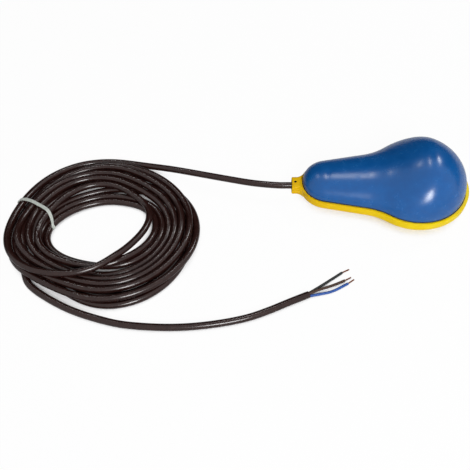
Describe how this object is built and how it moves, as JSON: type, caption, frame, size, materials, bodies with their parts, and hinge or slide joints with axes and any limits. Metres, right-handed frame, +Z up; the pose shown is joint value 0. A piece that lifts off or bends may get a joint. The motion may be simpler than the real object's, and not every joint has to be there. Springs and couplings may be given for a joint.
{
  "type": "cable float switch",
  "caption": "Pear-shaped float with an upper and a lower moulded half, a cable collar and a coiled multi-core cable with stripped ends.",
  "frame": {"origin": "on the ground under the middle of the float, collar included", "axes": "+X from the cable collar towards the bulb, +Z up, +Y across the float"},
  "size_m": [0.4699, 0.2169, 0.0654],
  "materials": {
    "blue_plastic": "smooth moulded polypropylene",
    "yellow_plastic": "smooth moulded polypropylene",
    "black_rubber": "moulded rubber",
    "cable_sheath": "glossy extruded PVC sheath",
    "tie_plastic": "translucent pale nylon",
    "core_brown": "brown core insulation",
    "core_blue": "blue core insulation",
    "core_black": "black core insulation",
    "copper": "bare stranded copper",
    "zinc_steel": "zinc plated steel",
    "ball_steel": "polished bearing steel",
    "terminal_brass": "stamped brass",
    "grey_plastic": "moulded plastic",
    "switch_plastic": "moulded switch plastic",
    "red_plastic": "moulded switch plastic"
  },
  "bodies": {
    "float": {"upper_shell": "blue_plastic", "lower_shell": "yellow_plastic", "rim_seal": "black_rubber", "gland_bush": "black_rubber", "gland_washer": "grey_plastic", "cable_lead": "cable_sheath", "cable_coil": "cable_sheath", "cable_tail": "cable_sheath", "coil_tie": "tie_plastic", "core_brown": "core_brown", "core_blue": "core_blue", "core_black": "core_black", "copper_brown": "copper", "copper_blue": "copper", "copper_black": "copper", "cable_clamp": "zinc_steel", "clamp_screw_1": "zinc_steel", "clamp_screw_2": "zinc_steel", "wire_brown": "core_brown", "wire_blue": "core_blue", "wire_black": "core_black", "switch_box": "grey_plastic", "switch_box_lid": "grey_plastic", "lid_screw_1": "zinc_steel", "lid_screw_2": "zinc_steel", "lid_screw_3": "zinc_steel", "lid_screw_4": "zinc_steel", "box_screw_1": "zinc_steel", "box_screw_2": "zinc_steel", "ball_track": "switch_plastic", "switch_case": "switch_plastic", "switch_cover": "red_plastic", "switch_screw_1": "zinc_steel", "switch_screw_2": "zinc_steel", "lever_pin": "zinc_steel", "terminal_common": "terminal_brass", "terminal_open": "terminal_brass", "terminal_closed": "terminal_brass"},
    "ball": {"steel_ball": "ball_steel"},
    "lever": {"switch_lever": "zinc_steel"},
    "plunger": {"switch_plunger": "red_plastic"},
    "blade": {"contact_blade": "terminal_brass"}
  },
  "joints": [
    {"name": "ball_roll", "type": "slide", "parent": "float", "child": "ball", "axis": [-1, 0, 0], "range_m": [0, 0.0238]},
    {"name": "lever_swing", "type": "hinge", "parent": "float", "child": "lever", "pos_m": [0.0185, -0.0115, 0.0211], "axis": [0, 0, 1], "range_deg": [0, 4], "stiffness_Nm_per_rad": 0.001},
    {"name": "plunger_press", "type": "slide", "parent": "float", "child": "plunger", "axis": [-1, 0, 0], "range_m": [0, 0.00067]},
    {"name": "blade_swing", "type": "hinge", "parent": "float", "child": "blade", "pos_m": [0.0116, -0.0069, 0.0211], "axis": [0, 0, 1], "range_deg": [0, 2.9]}
  ],
  "couplings": [
    {"joint": "plunger_press", "follows": "lever_swing", "m_per_rad": 0.0095},
    {"joint": "blade_swing", "follows": "lever_swing", "ratio": 0.72}
  ]
}
